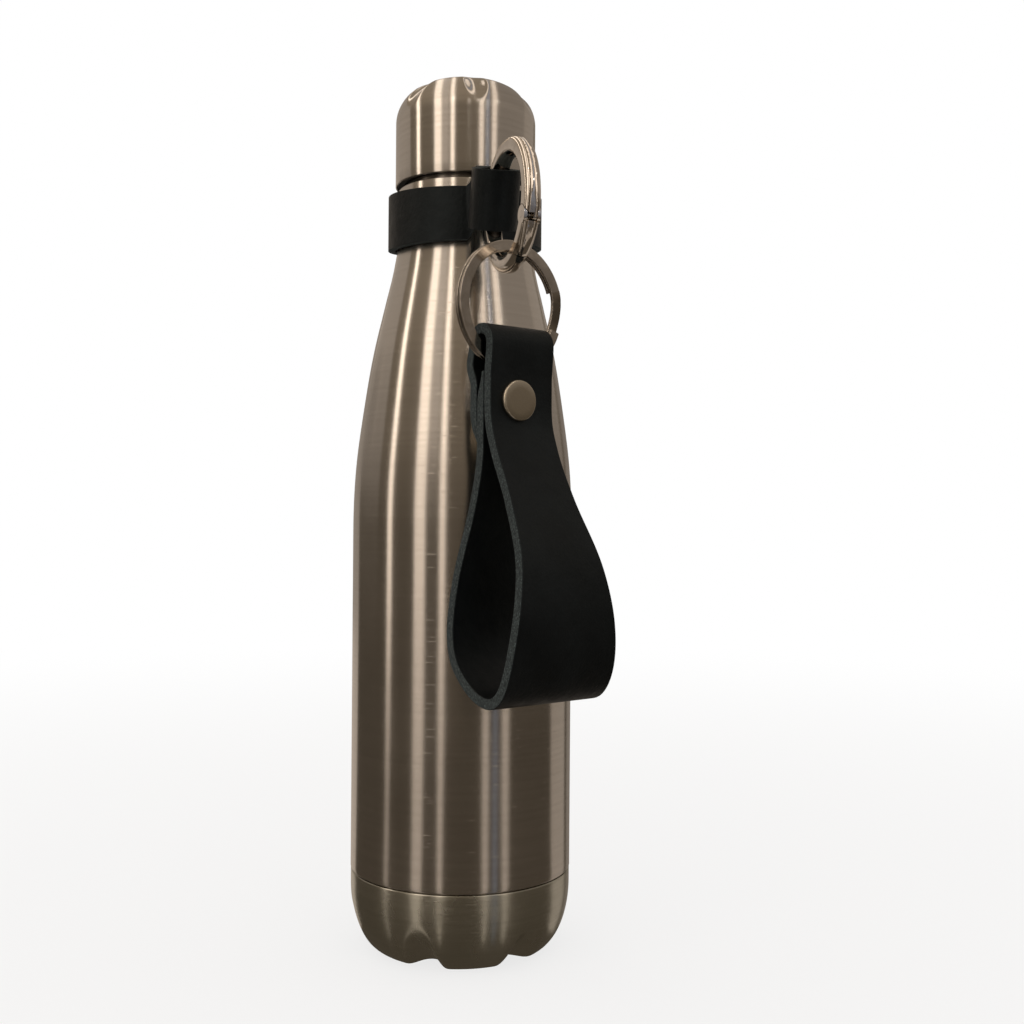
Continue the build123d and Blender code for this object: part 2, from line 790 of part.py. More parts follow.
def strap_side(edge, distance):
    """Face line of the strap beside one edge of its centre line."""
    if edge.geom_type == GeomType.LINE:
        return Line(beside(edge, 0, distance), beside(edge, 1, distance))
    if edge.geom_type == GeomType.CIRCLE:
        return ThreePointArc(*[beside(edge, share, distance) for share in (0, 1 / 2, 1)])
    points = [beside(edge, step / strap_steps, distance) for step in range(strap_steps + 1)]
    return Spline(points, tangents=[edge % 0, edge % 1])


strap_half = strap_leather / 2
handle_rivet_spot = (handle_rivet_shift, fold_top - handle_rivet_drop)
with BuildPart() as handle_strap:
    with BuildSketch(handle_side):
        with BuildLine():
            for edge in strap_centre:
                strap_side(edge, strap_half)
                strap_side(edge, -strap_half)
            for edge, share in ((strap_centre[0], 0), (strap_centre[-1], 1)):
                Line(beside(edge, share, strap_half), beside(edge, share, -strap_half))
        make_face()
    extrude(amount=strap_grip_width / 2, both=True)
    with BuildSketch(handle_front.offset(-strap_grip_width)):
        grip_start = stack_foot - loop_rise * grip_start_share
        grip_full = stack_foot - loop_rise * grip_full_share
        strap_low = loop_floor - strap_leather
        with BuildLine():
            for side in (1, -1):
                narrow = strap_shift + side * strap_half_end
                wide = strap_shift + side * strap_grip_width / 2
                Line((strap_shift, fold_top + overrun), (narrow, fold_top + overrun))
                Line((narrow, fold_top + overrun), (narrow, grip_start))
                Spline((narrow, grip_start), (wide, grip_full), tangents=[(0, -1), (0, -1)])
                Line((wide, grip_full), (wide, strap_low))
                Line((wide, strap_low), (strap_shift, strap_low))
        make_face()
    extrude(amount=2 * strap_grip_width, mode=Mode.INTERSECT)
    with BuildSketch(handle_front):
        with Locations(handle_rivet_spot):
            Circle(rivet_post_radius + rivet_post_gap)
    extrude(amount=loop_front, both=True, mode=Mode.SUBTRACT)
handle_strap.part.label = "handle_strap"

stack_face = layer_pitch + strap_leather / 2
with BuildPart() as handle_rivet_cap:
    with BuildSketch(handle_front.offset(stack_face)):
        with Locations(handle_rivet_spot):
            Circle(handle_rivet_radius)
    extrude(amount=handle_rivet_crown)
    crown_edge = handle_rivet_cap.edges().sort_by(Axis((0, 0, 0), handle_front.z_dir))[-1]
    fillet(crown_edge, handle_rivet_crown / 2)
handle_rivet_cap.part.label = "handle_rivet_cap"

with BuildPart() as handle_rivet_post:
    with BuildSketch(handle_front.offset(-stack_face)):
        with Locations(handle_rivet_spot):
            Circle(rivet_post_radius)
    extrude(amount=2 * stack_face)
    with BuildSketch(handle_front.offset(-stack_face)):
        with Locations(handle_rivet_spot):
            Circle(handle_rivet_foot_radius)
    extrude(amount=-handle_rivet_foot)
handle_rivet_post.part.label = "handle_rivet_post"

for piece in (
    outer_shell.part,
    outer_bottom.part,
    seal_bead.part,
    getter.part,
    inner_flask.part,
    inner_bottom.part,
    base_cup,
    cap_shell,
    stopper_core.part,
    stopper_lid.part,
    foam_plug.part,
    seal_ring.part,
    collar_strap.part,
    collar_rivet_cap.part,
    collar_rivet_post.part,
    gate_ring,
    gate,
    gate_pin,
    gate_spring.part,
    key_ring.part,
    handle_strap.part,
    handle_rivet_cap.part,
    handle_rivet_post.part,
):
    export_step(piece, f"parts/{piece.label}.step")
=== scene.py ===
from math import cos, pi, radians, sin, sqrt, tan

import bmesh
import bpy
from mathutils import Matrix, Vector, geometry


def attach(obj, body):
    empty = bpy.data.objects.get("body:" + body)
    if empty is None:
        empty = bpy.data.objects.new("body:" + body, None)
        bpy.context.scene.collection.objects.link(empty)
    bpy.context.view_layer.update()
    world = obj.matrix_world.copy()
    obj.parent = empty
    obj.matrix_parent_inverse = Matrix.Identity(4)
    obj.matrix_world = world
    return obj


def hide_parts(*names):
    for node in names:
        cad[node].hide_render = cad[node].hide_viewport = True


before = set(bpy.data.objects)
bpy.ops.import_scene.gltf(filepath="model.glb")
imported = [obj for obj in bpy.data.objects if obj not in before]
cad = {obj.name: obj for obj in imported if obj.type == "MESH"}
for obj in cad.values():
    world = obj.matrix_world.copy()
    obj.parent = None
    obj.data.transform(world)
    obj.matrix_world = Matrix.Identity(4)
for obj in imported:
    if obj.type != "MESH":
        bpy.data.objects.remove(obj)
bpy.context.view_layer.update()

mm = 0.001

# Sizes and places that pieces share with the CAD, in millimetres
body_radius = 34
seam_height = 24.3
shoulder_height = 128
shoulder_length = 90
neck_radius = 20.8
neck_foot = 218
neck_top = 233.3
lip_top = 240.3
lip_radius = 18.6
steel_wall = 0.7
seam_ease = 0.35
cap_radius = 21.75
cap_edge = 234.5
dome_round_width = 13.8
dome_round_height = 12.1
dome_spring = 254.3
dome_top = 266.4
cup_radius = 33.9
cup_edge = 24.125
cup_round_height = 20
foot_radius = 24
foot_inner_radius = 19
recess_radius = 14
recess_height = 3.2
tab_middle = Vector((0, -42.6, 221.2))
tab_tilt = radians(18)
ring_yaw = radians(6.5)
gate_ring_middle = Vector((1.649, -57.072, 215.899))
gate_ring_radius = 15.5
gate_pin_place = Vector((3.276, -71.351, 210.092))
handle_yaw = radians(26)

# Camera, a little left of the tab and level with the middle of the bottle
photo_pixels = 1024
focal_pixels = 1226
camera_pitch = radians(0.18)
camera_roll = radians(0.43)
to_bottle = Matrix.Rotation(radians(-13), 3, "Z")
ahead = to_bottle @ Vector((0, cos(camera_pitch), sin(camera_pitch)))
level = to_bottle @ Vector((1, 0, 0))
rise = to_bottle @ Vector((0, -sin(camera_pitch), cos(camera_pitch)))
right = level * cos(camera_roll) + rise * sin(camera_roll)
above = rise * cos(camera_roll) - level * sin(camera_roll)
camera = bpy.data.objects.new("camera", bpy.data.cameras.new("camera"))
bpy.context.collection.objects.link(camera)
camera.data.sensor_width = 36
camera.data.lens = camera.data.sensor_width * focal_pixels / photo_pixels
camera.data.clip_start = 0.01
camera.data.clip_end = 20
camera.matrix_world = (
    Matrix.Translation(to_bottle @ Vector((15.35, -383.7, 132.7)) * mm)
    @ Matrix((right, above, -ahead)).transposed().to_4x4()
)
bpy.context.scene.camera = camera
bpy.context.scene.view_settings.view_transform = "Standard"


# Making pieces: drawn in millimetres, kept in metres
def piece(bm, name, finishes, body, stands_for=(), crease=38):
    """Turns a drawn mesh into a piece that rides on a body and stands for CAD nodes."""
    bmesh.ops.scale(bm, vec=(mm, mm, mm), verts=bm.verts)
    for face in bm.faces:
        face.smooth = True
    for edge in bm.edges:
        if len(edge.link_faces) == 2 and edge.calc_face_angle(0) > radians(crease):
            edge.smooth = False
    mesh = bpy.data.meshes.new(name)
    bm.to_mesh(mesh)
    bm.free()
    made = bpy.data.objects.new(name, mesh)
    bpy.context.collection.objects.link(made)
    for finish in finishes:
        mesh.materials.append(finish)
    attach(made, body)
    if stands_for:
        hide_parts(*stands_for)
    return made


def modifier(made, kind, **settings):
    """Adds a modifier with its settings to a piece."""
    added = made.modifiers.new(kind.title(), kind)
    for name, value in settings.items():
        setattr(added, name, value)
    return added


def flow(points, lead=None, trail=None, steps=8):
    """Smooth line through points, with its directions at the two ends."""
    points = [Vector(p) for p in points]
    spans = [(b - a).length for a, b in zip(points, points[1:])]
    heads = []
    for i, point in enumerate(points):
        if i == 0:
            heads.append(Vector(lead).normalized() if lead else (points[1] - point) / spans[0])
        elif i == len(points) - 1:
            heads.append(Vector(trail).normalized() if trail else (point - points[-2]) / spans[-1])
        else:
            before, after = spans[i - 1], spans[i]
            coming = (point - points[i - 1]) / before
            going = (points[i + 1] - point) / after
            heads.append((coming * after + going * before) / (before + after))
    line = []
    for i, span in enumerate(spans):
        near = points[i] + heads[i] * span / 3
        far = points[i + 1] - heads[i + 1] * span / 3
        line += geometry.interpolate_bezier(points[i], near, far, points[i + 1], steps + 1)[:-1]
    return line + [points[-1]]


def round_off(corner, before, after, radius, steps=4):
    """Quarter-round points that ease a profile's square corner."""
    corner, before, after = Vector(corner), Vector(before), Vector(after)
    start = corner + (before - corner).normalized() * radius
    end = corner + (after - corner).normalized() * radius
    quarter_share = 0.4477
    near = corner + (start - corner) * quarter_share
    far = corner + (end - corner) * quarter_share
    return [tuple(p[:2]) for p in geometry.interpolate_bezier(start, near, far, end, steps + 1)]


def turned(profile, steps=192, closed=True):
    """Mesh turned round the bottle's axis from a profile of radius and height."""
    bm = bmesh.new()
    verts = [bm.verts.new((p[0], 0, p[1])) for p in profile]
    pairs = list(zip(verts, verts[1:]))
    if closed:
        pairs.append((verts[-1], verts[0]))
    edges = [bm.edges.new(pair) for pair in pairs]
    bmesh.ops.spin(
        bm, geom=verts + edges, cent=(0, 0, 0), axis=(0, 0, 1), angle=2 * pi, steps=steps, use_merge=True
    )
    bmesh.ops.remove_doubles(bm, verts=bm.verts, dist=0.0001)
    bmesh.ops.recalc_face_normals(bm, faces=bm.faces)
    return bm


def crown_ring(bm):
    """Rounds the gate ring's outer and inner faces, so that its polish reads as a round bar."""
    normal = Vector((-cos(ring_yaw), -sin(ring_yaw), 0))
    half_depth, half_breadth, crown = 2.5, 2.3, 0.5
    square_near_pin, fade = 4.5, 4
    for offset in (-1.7, -1.2, -0.8, -0.4, 0, 0.4, 0.8, 1.2, 1.7):
        everything = bm.verts[:] + bm.edges[:] + bm.faces[:]
        cut_at = gate_ring_middle + normal * offset
        bmesh.ops.bisect_plane(bm, geom=everything, plane_co=cut_at, plane_no=normal)
    for vert in bm.verts:
        depth = (vert.co - gate_ring_middle).dot(normal)
        out = vert.co - gate_ring_middle - normal * depth
        share = (out.length - gate_ring_radius) / half_depth
        clear = min(1, max(0, ((vert.co - gate_pin_place).length - square_near_pin) / fade))
        vert.co -= out.normalized() * share * crown * clear * (depth / half_breadth) ** 2


def smooth_copy(node, finishes, body, crease=30, reshape=None):
    """Merged copy of a CAD node with evenly shaded curves, standing for it."""
    bm = bmesh.new()
    bm.from_mesh(cad[node].data)
    bmesh.ops.remove_doubles(bm, verts=bm.verts, dist=mm * mm)
    bmesh.ops.scale(bm, vec=(1 / mm, 1 / mm, 1 / mm), verts=bm.verts)
    if reshape:
        reshape(bm)
    made = piece(bm, node + "_finished", finishes, body, (node,), crease)
    if not reshape:
        modifier(made, "WEIGHTED_NORMAL", keep_sharp=True, weight=100)
    return made


# Finishes
def finish_named(name, **settings):
    """New finish with its uniform values set on the shader itself."""
    finish = bpy.data.materials.new(name)
    finish.use_nodes = True
    shader = finish.node_tree.nodes["Principled BSDF"]
    for socket, value in settings.items():
        shader.inputs[socket.replace("_", " ")].default_value = value
    return finish, shader


def add(finish, kind, feeds=None, **options):
    """Adds a shader node to a finish; feeds are values or sockets for its inputs."""
    made = finish.node_tree.nodes.new("ShaderNode" + kind)
    for option, value in options.items():
        setattr(made, option, value)
    for socket, value in (feeds or {}).items():
        if isinstance(value, bpy.types.NodeSocket):
            finish.node_tree.links.new(value, made.inputs[socket])
        else:
            made.inputs[socket].default_value = value
    return made


def join(finish, output, target):
    """Links one socket to another."""
    finish.node_tree.links.new(output, target)


def stretched_noise(finish, scale, detail=3.0, roughness=0.5, turn=(0, 0, 0)):
    """Noise on the piece's own coordinates, stretched by a scale per metre along each axis."""
    place = add(finish, "TexCoord").outputs["Object"]
    mapped = add(finish, "Mapping", {"Vector": place, "Scale": scale, "Rotation": turn})
    noise = add(
        finish,
        "TexNoise",
        {"Vector": mapped.outputs[0], "Scale": 1.0, "Detail": detail, "Roughness": roughness},
    )
    return noise.outputs[0]


def graded(finish, value, low, high, start, end):
    """Maps a value's range onto another one."""
    made = add(finish, "MapRange", {"Value": value, 1: low, 2: high, 3: start, 4: end})
    return made.outputs[0]


def tinted(finish, value, stops):
    """Colour ramp over a value; stops are pairs of place and colour."""
    made = add(finish, "ValToRGB", {"Fac": value})
    ramp = made.color_ramp
    while len(ramp.elements) < len(stops):
        ramp.elements.new(0.5)
    for element, (place, colour) in zip(ramp.elements, stops):
        element.position = place
        element.color = (*colour, 1)
    return made.outputs[0]


def bumps(finish, shader, layers):
    """Stacks bump layers of height, strength and depth onto a shader."""
    normal = None
    for height, strength, depth in layers:
        feeds = {"Height": height, "Strength": strength, "Distance": depth}
        if normal is not None:
            feeds["Normal"] = normal
        normal = add(finish, "Bump", feeds).outputs[0]
    join(finish, normal, shader.inputs["Normal"])


def colour_between(finish, shader, value, low, high, dark, light):
    """Fades the shader's colour from one to another over a value's range."""
    colour = tinted(finish, graded(finish, value, low, high, 0, 1), [(0, dark), (1, light)])
    join(finish, colour, shader.inputs["Base Color"])


def gloss_between(finish, shader, value, low, high, start, end):
    """Lets the shader's roughness follow a value's range."""
    join(finish, graded(finish, value, low, high, start, end), shader.inputs["Roughness"])


def brushed_steel(name, light, dark, gloss, wear, dashes=0.06, stretch=0.9):
    """Steel brushed round its axis: fine lines, soft smears up and down, stray scratches."""
    finish, shader = finish_named(name, Metallic=1.0, Anisotropic=stretch, Anisotropic_Rotation=0.25)
    tangent = add(finish, "Tangent", direction_type="RADIAL", axis="Z")
    join(finish, tangent.outputs[0], shader.inputs["Tangent"])
    fine = stretched_noise(finish, (45, 45, 5200), 4, 0.6)
    coarse = stretched_noise(finish, (9, 9, 1100), 3, 0.55)
    cloud = stretched_noise(finish, (38, 38, 26), 4, 0.6)
    blend = add(finish, "Math", {0: coarse, 1: cloud}, operation="ADD").outputs[0]
    colour_between(finish, shader, blend, 0.62, 1.38, dark, light)
    gloss_between(finish, shader, cloud, 0.25, 0.75, gloss - 0.02, gloss + 0.03)
    stray = graded(finish, stretched_noise(finish, (150, 150, 3600), 2, 0.4), wear, wear + 0.06, 0, 1)
    bumps(finish, shader, [(fine, 0.16, 0.00006), (coarse, dashes, 0.0001), (stray, 0.2, 0.0001)])
    return finish


def leather(name, colour, worn, gloss, grain):
    """Smooth-tanned leather: pebbled grain, pores, faint creases and lighter rubbed spots."""
    finish, shader = finish_named(name, Specular_IOR_Level=0.27, Specular_Tint=(0.8, 0.94, 1.0, 1))
    place = add(finish, "TexCoord").outputs["Object"]
    cells = add(finish, "TexVoronoi", {"Vector": place, "Scale": grain}, feature="SMOOTH_F1").outputs[0]
    pores = stretched_noise(finish, (grain * 2.2,) * 3, 3, 0.6)
    creases = stretched_noise(finish, (190, 190, 190), 5, 0.62)
    rubbed = stretched_noise(finish, (46, 46, 46), 4, 0.62)
    colour_between(finish, shader, rubbed, 0.35, 0.78, colour, worn)
    gloss_between(finish, shader, creases, 0.3, 0.7, gloss - 0.06, gloss + 0.08)
    bumps(finish, shader, [(creases, 0.55, 0.0005), (cells, 0.35, 0.00012), (pores, 0.25, 0.0001)])
    return finish


def cut_edge(name, colour, dust):
    """Raw cut edge of leather: matt, fibrous, paler than the face."""
    finish, shader = finish_named(name, Specular_IOR_Level=0.2, Roughness=0.92)
    fibres = stretched_noise(finish, (5200, 5200, 3800), 4, 0.7)
    lumps = stretched_noise(finish, (2600, 2600, 1900), 5, 0.75)
    thin_dust = tuple(0.35 * share for share in dust)
    dusty = tinted(
        finish, graded(finish, lumps, 0.34, 0.72, 0, 1), [(0, colour), (0.55, thin_dust), (1, dust)]
    )
    join(finish, dusty, shader.inputs["Base Color"])
    bumps(finish, shader, [(lumps, 0.6, 0.0003), (fibres, 0.6, 0.00012)])
    return finish


def plated(name, light, dark, gloss, scuff):
    """Nickel plate: small dents in the polish, hair scratches and dull patches."""
    finish, shader = finish_named(name, Metallic=1.0)
    cloud = stretched_noise(finish, (260, 260, 260), 3, 0.5)
    hair = stretched_noise(finish, (900, 260, 5200), 2, 0.5, (0.6, 0.3, 0.9))
    ripple = stretched_noise(finish, (330, 330, 330), 2, 0.5)
    colour_between(finish, shader, cloud, 0.3, 0.72, dark, light)
    gloss_between(finish, shader, cloud, 0.3, 0.7, gloss + 0.06, gloss)
    bumps(finish, shader, [(ripple, scuff, 0.0003), (hair, 0.12, 0.00003)])
    return finish


def moulded(name, colour, lift, gloss, size, depth):
    """Moulded plastic, foam or rubber: fine mottling under an even skin."""
    finish, shader = finish_named(name, Specular_IOR_Level=0.4)
    skin = stretched_noise(finish, (size, size, size), 4, 0.6)
    slow = stretched_noise(finish, (60, 60, 60), 3, 0.5)
    colour_between(finish, shader, slow, 0.3, 0.7, colour, lift)
    gloss_between(finish, shader, skin, 0.3, 0.7, gloss - 0.05, gloss + 0.07)
    bumps(finish, shader, [(skin, 0.3, depth)])
    return finish


steel_body = brushed_steel("brushed_steel_body", (0.67, 0.63, 0.58), (0.59, 0.55, 0.50), 0.2, 0.72)
steel_base = brushed_steel(
    "brushed_steel_base", (0.66, 0.645, 0.565), (0.55, 0.54, 0.46), 0.27, 0.62, dashes=0.14, stretch=0.8
)
steel_cap = brushed_steel("brushed_steel_cap", (0.66, 0.62, 0.57), (0.57, 0.53, 0.48), 0.18, 0.74)
steel_inside = brushed_steel("drawn_steel_inside", (0.62, 0.61, 0.59), (0.52, 0.51, 0.49), 0.32, 0.76)
black_leather = leather("black_leather", (0.0018, 0.0023, 0.0026), (0.0052, 0.0064, 0.0068), 0.42, 1500)
leather_edge = cut_edge("leather_cut_edge", (0.009, 0.0125, 0.0125), (0.12, 0.145, 0.142))
ring_nickel = plated("ring_nickel", (0.80, 0.74, 0.67), (0.66, 0.60, 0.53), 0.07, 0.10)
# The split ring's nickel is a darker copy of the ring nickel: painted shade, standing in for the dark
# room that its polish mirrors.
shaded_split_nickel = plated("split_ring_nickel_shaded", (0.60, 0.55, 0.49), (0.44, 0.40, 0.35), 0.09, 0.08)
rivet_nickel = plated("rivet_nickel", (0.66, 0.60, 0.49), (0.61, 0.55, 0.45), 0.2, 0.004)
spring_steel = plated("spring_steel", (0.60, 0.60, 0.60), (0.48, 0.48, 0.49), 0.2, 0.05)
core_plastic = moulded("core_plastic", (0.016, 0.016, 0.017), (0.026, 0.026, 0.027), 0.45, 2600, 0.0001)
insulating_foam = moulded("insulating_foam", (0.80, 0.77, 0.70), (0.70, 0.66, 0.58), 0.9, 1500, 0.0004)
seal_silicone = moulded("seal_silicone", (0.62, 0.63, 0.62), (0.72, 0.73, 0.72), 0.38, 1800, 0.00006)
getter_pellet = moulded("getter_pellet", (0.20, 0.19, 0.18), (0.30, 0.29, 0.27), 0.6, 2400, 0.0002)
sealing_glass = moulded("sealing_glass", (0.10, 0.12, 0.11), (0.16, 0.18, 0.17), 0.12, 900, 0.00005)

# Bottle: outer shell with its skirt, rounded seam edge, shoulder, neck and lip
shoulder_rises = (0.21, 0.41, 0.62, 0.775, 0.91)
shoulder_outs = (0.945, 0.775, 0.535, 0.290, 0.080)


def shoulder(inset, steps=10):
    """The shoulder's line from the body up to the neck, as radius and height."""
    spread = body_radius - neck_radius
    points = [(body_radius - inset, shoulder_height, 0)]
    for up, out in zip(shoulder_rises, shoulder_outs):
        points.append((neck_radius + spread * out - inset, shoulder_height + shoulder_length * up, 0))
    points += [(neck_radius - inset, neck_foot, 0)]
    return [tuple(p[:2]) for p in flow(points, (0, 1, 0), (0, 1, 0), steps)]


skirt_radius, skirt_foot, skirt_bend = 33.05, 20.2, 2
half_seam = 0.175
shell_edge = seam_height + half_seam
skirt_inside = skirt_radius - steel_wall
lip_inside = lip_radius - steel_wall
lip_shelf = neck_top - steel_wall
shell_line = [(skirt_inside, skirt_foot), (skirt_radius, skirt_foot), (skirt_radius, shell_edge)]
shell_line += round_off(
    (body_radius, shell_edge), (skirt_radius, shell_edge), (body_radius, shoulder_height), seam_ease
)
shell_line += [(body_radius, 26), (body_radius, 60), (body_radius, 96)] + shoulder(0)
shell_line += [(neck_radius, 225)]
shell_line += round_off(
    (neck_radius, neck_top), (neck_radius, neck_foot), (lip_inside, neck_top), 0.45
)
shell_line += [(lip_radius, neck_top), (lip_radius, lip_top), (lip_inside, lip_top)]
shell_line += [(lip_inside, lip_shelf), (neck_radius - steel_wall, lip_shelf)]
shell_line += shoulder(steel_wall)[::-1]
shell_line += [(radius, shell_edge + skirt_bend) for radius in (body_radius - steel_wall, skirt_inside)]
piece(turned(shell_line), "bottle_shell", [steel_body], "bottle", ("outer_shell",))


# Petal base: a bowl whose foot six slanting grooves part into petals
def eased_max(a, b, ease):
    """The larger of two values, rounded where they meet."""
    near = max(ease - abs(a - b), 0) / ease
    return max(a, b) + near * near * ease / 4


def groove_line(side, radius):
    """Height of a groove's round roof beside its axis, with straight flanks from 0.8 of its radius."""
    turn_off = 0.8 * radius
    if abs(side) < turn_off:
        return sqrt(radius * radius - side * side)
    return 0.6 * radius - (abs(side) - turn_off) * 4 / 3


def press_grooves(bm, first, seat, slope, radius, ease, outward):
    """Presses six slanting grooves into a turned skin, at angles a sixth of a turn apart."""
    lift = Vector((outward * sin(slope), 0, cos(slope)))
    reach = 2.4 * radius
    for vert in bm.verts:
        for i in range(6):
            turn = Matrix.Rotation(-first - i * pi / 3, 3, "Z")
            local = turn @ vert.co
            if local.x < 0 or abs(local.y) > reach:
                continue
            height = (local - Vector(seat)).dot(lift)
            roof = groove_line(local.y, radius)
            if outward > 0:
                moved = -eased_max(-height, roof, ease)
            else:
                moved = eased_max(height, roof, ease)
            if abs(moved - height) > 0.0001:
                vert.co += turn.transposed() @ (lift * (moved - height))


def quarter(centre, across, up, start, end, steps):
    """Points of an elliptical arc in a profile, from one angle to another in degrees."""
    turns = [radians(start + (end - start) * i / steps) for i in range(steps + 1)]
    return [(centre[0] + across * cos(a), centre[1] + up * sin(a)) for a in turns]


foot_width = foot_radius - foot_inner_radius
recess_middle = ((foot_inner_radius + recess_radius) / 2, recess_height / 2)
cup_line = round_off((cup_radius, cup_edge), (33, cup_edge), (cup_radius, cup_round_height), seam_ease)
cup_line += [(cup_radius, 22)]
cup_line += quarter(
    (foot_radius, cup_round_height), cup_radius - foot_radius, cup_round_height, 0, -90, 36
)
cup_line += [(foot_radius - i * foot_width / 6, 0) for i in range(1, 6)]
cup_line += round_off((foot_inner_radius, 0), (foot_radius, 0), (recess_radius, recess_height), 0.8)
cup_line += [recess_middle]
cup_line += round_off((recess_radius, recess_height), (foot_inner_radius, 0), (0, recess_height), 0.8)
cup_line += [(recess_radius / 2, recess_height), (0, recess_height)]
cup = turned(cup_line, 288, closed=False)
groove_slope, groove_radius, groove_top = radians(41), 4.6, 12.5
groove_seat = (cup_radius, 0, groove_top - groove_radius / cos(groove_slope))
press_grooves(cup, radians(-2.5), groove_seat, groove_slope, groove_radius, 2.6, -1)
base_cup = piece(cup, "petal_base", [steel_base], "bottle", ("base_cup",))
modifier(base_cup, "SOLIDIFY", thickness=0.75 * mm, offset=-1)

# Screw cap: a drawn dome with six flutes pressed into its round
dome_middle = (cap_radius - dome_round_width, dome_spring)
dome_line = [(21.3, cap_edge)]
dome_line += round_off((cap_radius, cap_edge), (21, cap_edge), (cap_radius, 240), 0.3)
dome_line += [(cap_radius, 238), (cap_radius, 246), (cap_radius, 251)]
dome_line += quarter(dome_middle, dome_round_width, dome_round_height, 0, 90, 36)
dome_line += [(5, dome_top), (2.5, dome_top), (0, dome_top)]
dome = turned(dome_line, 288, closed=False)
lean, flute_radius, flute_lift = radians(43), 3.9, 3.27
diagonal = sqrt(0.5)
skin = Vector(
    (cap_radius - dome_round_width * (1 - diagonal), 0, dome_spring + dome_round_height * diagonal)
)
axis_point = skin + Vector((sin(lean), 0, cos(lean))) * flute_lift
press_grooves(dome, radians(-92), axis_point, lean, flute_radius, 2.3, 1)
cap_dome = piece(dome, "cap_dome", [steel_cap], "cap", ("cap_shell",))
modifier(cap_dome, "SOLIDIFY", thickness=0.8 * mm, offset=-1)


# Leather strips: a flat grid laid along two edge lines, then given its thickness
def strip(near, far, shares, across, name, body, thickness, closed, stands_for):
    """Leather strip between two edge lines, with raw edges and a share of its thickness along them."""
    count = len(near)
    bm = bmesh.new()
    full = bm.verts.layers.deform.verify()
    bmesh.ops.create_grid(bm, x_segments=count - 1, y_segments=across, size=1)
    for vert in bm.verts:
        station = min(count - 1, round((vert.co.x + 1) / 2 * (count - 1)))
        vert.co = near[station].lerp(far[station], (vert.co.y + 1) / 2)
        vert[full][0] = shares[station]
    if closed:
        bmesh.ops.remove_doubles(bm, verts=bm.verts, dist=0.001)
    made = piece(bm, name, [black_leather, leather_edge], body, stands_for, crease=180)
    made.vertex_groups.new(name="full_thickness")
    modifier(
        made, "SOLIDIFY", thickness=thickness * mm, offset=0, use_even_offset=True,
        material_offset_rim=1, vertex_group="full_thickness",
    )
    modifier(
        made, "BEVEL", width=0.42 * mm, segments=4, limit_method="ANGLE", angle_limit=radians(55),
        harden_normals=True,
    )
    return made


# Collar: the band round the neck and its tab folded round the ring
band_radius = 22.8
band_height = 223.8
band_slope = radians(4.9)
band_roll = radians(1.2)
band_droop = 1.1
tab_half_width = 8.15
band_half_width = 7.8


def tab_point(beside, back, height):
    """Point of the tab from its place beside, towards the bottle and across its width."""
    return Vector(
        (
            beside,
            tab_middle.y + back * cos(tab_tilt) - height * sin(tab_tilt),
            tab_middle.z + back * sin(tab_tilt) + height * cos(tab_tilt),
        )
    )


def band_point(angle, height):
    """Point of the band at an angle from the tab, in degrees."""
    x, y = band_radius * sin(radians(angle)), -band_radius * cos(radians(angle))
    return Vector((x, y, band_height + tan(band_slope) * y + height))


eye_radius, eye_shift, pinch_half = 5.5, 2.2, 1.3
half_tab = [
    (eye_radius * sin(radians(a)), -eye_shift - eye_radius * cos(radians(a))) for a in range(0, 91, 9)
]
half_tab += [(eye_radius * cos(radians(a)), eye_radius * sin(radians(a))) for a in (0, 10, 20, 29.6)]
half_tab += [(3.0, 5.85), (1.55, 8.5)] + [(pinch_half, back) for back in (10.2, 12.5, 15.0, 17.2)]
band_angles = [9, 13, 18] + list(range(25, 180, 7))
collar_edges = []
for side in (-1, 1):
    front = [tab_point(x, back, side * tab_half_width) for x, back in half_tab]
    around = [band_point(a, side * band_half_width) for a in band_angles]
    right_side = front + around
    left_side = [Vector((-p.x, p.y, p.z)) for p in right_side[::-1]]
    for p in left_side:
        if side < 0 and p.y > -23:
            p.z -= band_droop * (p.x / band_radius) ** 2
    loop = [Vector((p.x, p.y, p.z + tan(band_roll) * p.x)) for p in right_side + left_side]
    edge_line = flow(loop, (1, 0, 0), (1, 0, 0), 3)
    collar_edges.append(edge_line)
even = [1.0] * len(collar_edges[0])
strip(
    collar_edges[0], collar_edges[1], even, 16, "collar_leather", "collar", 2.2, True, ("collar_strap",)
)

# Handle: one strip folded over the split ring, riveted in three layers, and looped
handle_out = Vector((sin(handle_yaw), -cos(handle_yaw), 0))
handle_across = Vector((cos(handle_yaw), sin(handle_yaw), 0))
ring_middle = Vector((gate_ring_middle.x, gate_ring_middle.y, 0))
strap_middle = ring_middle + handle_across * 0.7
layer_pitch = 3
fold_radius = 3.65
fold_height = 178.378
tail_end = 150.93
rising, falling, inwards = (0, 1, 0), (0, -1, 0), (-1, 0, 0)


def fold_arc(steps=14):
    """The strip's round over the split ring."""
    turns = [pi - pi * i / steps for i in range(steps + 1)]
    return [Vector((fold_radius * cos(a), fold_height + fold_radius * sin(a), 0)) for a in turns]


